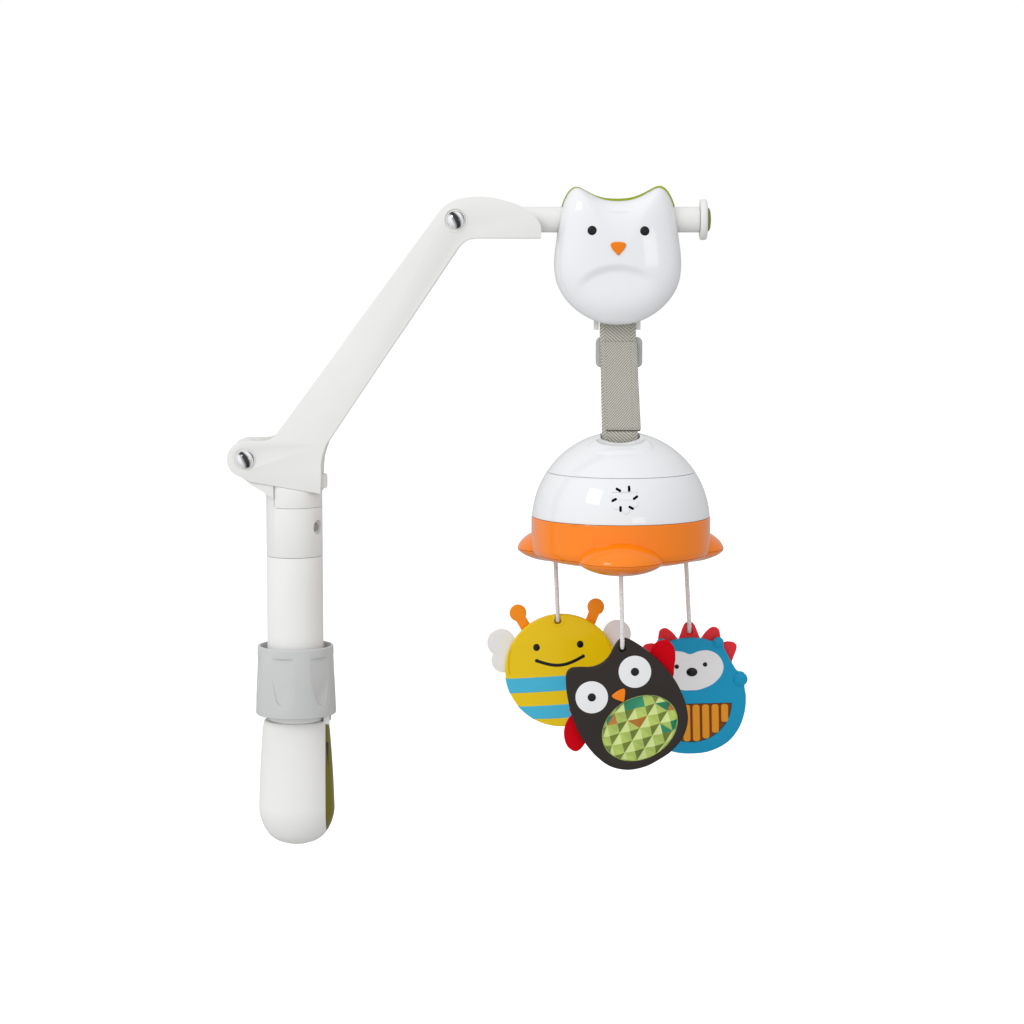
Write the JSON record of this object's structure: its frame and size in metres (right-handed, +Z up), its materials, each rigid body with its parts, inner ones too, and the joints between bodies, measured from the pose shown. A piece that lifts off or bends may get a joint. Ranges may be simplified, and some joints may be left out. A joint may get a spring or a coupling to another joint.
{
  "type": "crib mobile",
  "caption": "Folding rail-clamp arm with a rod that carries an animal-head clip, a webbing strap and a round music dome with a turning petal rotor and hanging animal toys.",
  "frame": {"origin": "centre of the rail clamp's grip, on the seam between its two jaws, at the middle of the jaw pad's height and of the arm's depth", "axes": "+Z up the post, +X from the post towards the toys, -Y towards the viewer, so that the animal faces look along -Y"},
  "size_m": [0.4691, 0.1833, 0.5948],
  "materials": {
    "white_plastic": "satin moulded plastic",
    "gloss_white_plastic": "high gloss moulded plastic",
    "grey_collar_plastic": "fine matt texture",
    "slider_plastic": "satin",
    "lime_plastic": "satin",
    "orange_plastic": "glossy",
    "rubber_pad": "matt",
    "black_plastic": "glossy",
    "pivot_chrome": "polished",
    "steel": "plain",
    "nylon": "natural",
    "grey_webbing": "woven herringbone",
    "white_cord": "braided",
    "circuit_board": "solder mask",
    "cell_jacket": "satin",
    "bee_yellow": "satin",
    "bee_wing_plastic": "frosted",
    "bee_orange": "satin",
    "owl_charcoal": "satin",
    "red_fabric": "fine ribs",
    "owl_gem": "faceted and glossy",
    "hedgehog_blue": "satin",
    "hedgehog_red": "satin",
    "hedgehog_amber": "ribbed and glossy"
  },
  "bodies": {
    "post": {"clamp_body": "white_plastic", "jaw_pin": "steel", "jaw_spring": "steel", "lower_tube": "white_plastic", "post_head": "white_plastic", "post_screw": "steel", "latch_catch": "white_plastic", "lower_pivot_pin": "pivot_chrome"},
    "collar": {"collar": "grey_collar_plastic"},
    "thrust_ring": {"thrust_ring": "nylon"},
    "clamp_jaw": {"clamp_jaw": "lime_plastic", "jaw_pad": "rubber_pad"},
    "arm": {"arm": "white_plastic", "upper_pivot_pin": "pivot_chrome", "latch_spring": "steel"},
    "latch_button": {"latch_button": "white_plastic"},
    "rod": {"rod": "white_plastic", "rod_knuckle": "white_plastic", "rod_flange": "white_plastic", "rod_end_cap": "lime_plastic"},
    "clip": {"clip_back_shell": "lime_plastic", "clip_frame": "white_plastic", "clip_rear_grip": "rubber_pad", "clip_pin": "steel", "clip_spring": "steel"},
    "clip_front": {"clip_front_shell": "gloss_white_plastic", "clip_front_grip": "rubber_pad", "left_eye": "black_plastic", "right_eye": "black_plastic", "beak": "orange_plastic"},
    "strap": {"strap": "grey_webbing"},
    "strap_slider": {"strap_slider": "slider_plastic"},
    "dome": {"dome_cap": "gloss_white_plastic", "dome_band": "gloss_white_plastic", "chassis": "nylon", "motor": "steel", "speaker": "black_plastic", "circuit_board": "circuit_board", "battery_1": "cell_jacket", "battery_2": "cell_jacket", "rotor_axle": "steel"},
    "music_button": {"music_button": "orange_plastic"},
    "motor_pinion": {"motor_pinion": "nylon"},
    "rotor": {"rotor_shell": "orange_plastic", "rotor_base": "orange_plastic"},
    "bee_bead": {"bee_bead": "nylon"},
    "bee": {"bee_string": "white_cord", "bee_body": "bee_yellow", "bee_wings": "bee_wing_plastic", "bee_antennae": "bee_orange"},
    "owl_bead": {"owl_bead": "nylon"},
    "owl": {"owl_string": "white_cord", "owl_body": "owl_charcoal", "owl_belly": "owl_gem", "owl_wings": "red_fabric"},
    "hedgehog_bead": {"hedgehog_bead": "nylon"},
    "hedgehog": {"hedgehog_string": "white_cord", "hedgehog_body": "hedgehog_blue", "hedgehog_belly": "hedgehog_amber", "hedgehog_spikes": "hedgehog_red"}
  },
  "joints": [
    {"name": "collar_turn", "type": "hinge", "parent": "post", "child": "collar", "pos_m": [-0.0274, 0, 0.08], "axis": [0, 0, 1], "range_deg": [0, 300]},
    {"name": "ring_slide", "type": "slide", "parent": "post", "child": "thrust_ring", "axis": [0, 0, 1], "range_m": [0, 0.012]},
    {"name": "jaw_swing", "type": "hinge", "parent": "post", "child": "clamp_jaw", "pos_m": [0.0015, 0, 0.056], "axis": [0, -1, 0], "range_deg": [0, 22]},
    {"name": "arm_fold", "type": "hinge", "parent": "post", "child": "arm", "pos_m": [-0.0691, 0, 0.2843], "axis": [0, -1, 0], "range_deg": [0, 150]},
    {"name": "latch_press", "type": "slide", "parent": "arm", "child": "latch_button", "axis": [-1, 0, 0], "range_m": [0, 0.0025], "stiffness_N_per_m": 400, "springref_m": -0.001},
    {"name": "rod_fold", "type": "hinge", "parent": "arm", "child": "rod", "pos_m": [0.1187, 0, 0.4965], "axis": [0, -1, 0], "range_deg": [0, 180]},
    {"name": "clip_slide", "type": "slide", "parent": "rod", "child": "clip", "axis": [1, 0, 0], "range_m": [-0.009, 0.014]},
    {"name": "clip_open", "type": "hinge", "parent": "clip", "child": "clip_front", "pos_m": [0.2625, -0.001, 0.455], "axis": [1, 0, 0], "range_deg": [0, 8], "stiffness_Nm_per_rad": 3, "springref_deg": -11.46},
    {"name": "strap_swing", "type": "hinge", "parent": "clip", "child": "strap", "pos_m": [0.2627, 0, 0.412], "axis": [1, 0, 0], "range_deg": [-30, 30]},
    {"name": "slider_slide", "type": "slide", "parent": "strap", "child": "strap_slider", "axis": [0, 0, 1], "range_m": [-0.03, 0.003]},
    {"name": "dome_tilt", "type": "hinge", "parent": "strap", "child": "dome", "pos_m": [0.2654, 0, 0.297], "axis": [1, 0, 0], "range_deg": [-20, 20]},
    {"name": "music_press", "type": "slide", "parent": "dome", "child": "music_button", "axis": [0, -1, 0], "range_m": [0, 0.0015], "stiffness_N_per_m": 600, "springref_m": -0.001},
    {"name": "rotor_spin", "type": "hinge", "parent": "dome", "child": "rotor", "pos_m": [0.2667, 0.007, 0.21], "axis": [0, 0, 1], "continuous": true},
    {"name": "pinion_spin", "type": "hinge", "parent": "dome", "child": "motor_pinion", "pos_m": [0.23422, -0.01175, 0.219], "axis": [0, 0, 1], "continuous": true},
    {"name": "owl_swing", "type": "hinge", "parent": "rotor", "child": "owl_bead", "pos_m": [0.26429, -0.06196, 0.1863], "axis": [-0.9994, 0.0349, 0], "range_deg": [0, 20]},
    {"name": "owl_twist", "type": "hinge", "parent": "owl_bead", "child": "owl", "pos_m": [0.26429, -0.06196, 0.1863], "axis": [0, 0, 1], "range_deg": [-90, 90]},
    {"name": "hedgehog_swing", "type": "hinge", "parent": "rotor", "child": "hedgehog_bead", "pos_m": [0.32762, 0.03939, 0.1863], "axis": [0.4695, -0.8829, 0], "range_deg": [0, 20]},
    {"name": "hedgehog_twist", "type": "hinge", "parent": "hedgehog_bead", "child": "hedgehog", "pos_m": [0.32762, 0.03939, 0.1863], "axis": [0, 0, 1], "range_deg": [-90, 90]},
    {"name": "bee_swing", "type": "hinge", "parent": "rotor", "child": "bee_bead", "pos_m": [0.20819, 0.04356, 0.1863], "axis": [0.5299, 0.848, 0], "range_deg": [0, 20]},
    {"name": "bee_twist", "type": "hinge", "parent": "bee_bead", "child": "bee", "pos_m": [0.20819, 0.04356, 0.1863], "axis": [0, 0, 1], "range_deg": [-90, 90]}
  ],
  "couplings": [
    {"joint": "ring_slide", "follows": "collar_turn", "m_per_rad": 0.00229},
    {"joint": "jaw_swing", "follows": "collar_turn", "ratio": 0.0733},
    {"joint": "pinion_spin", "follows": "rotor_spin", "ratio": -4}
  ]
}
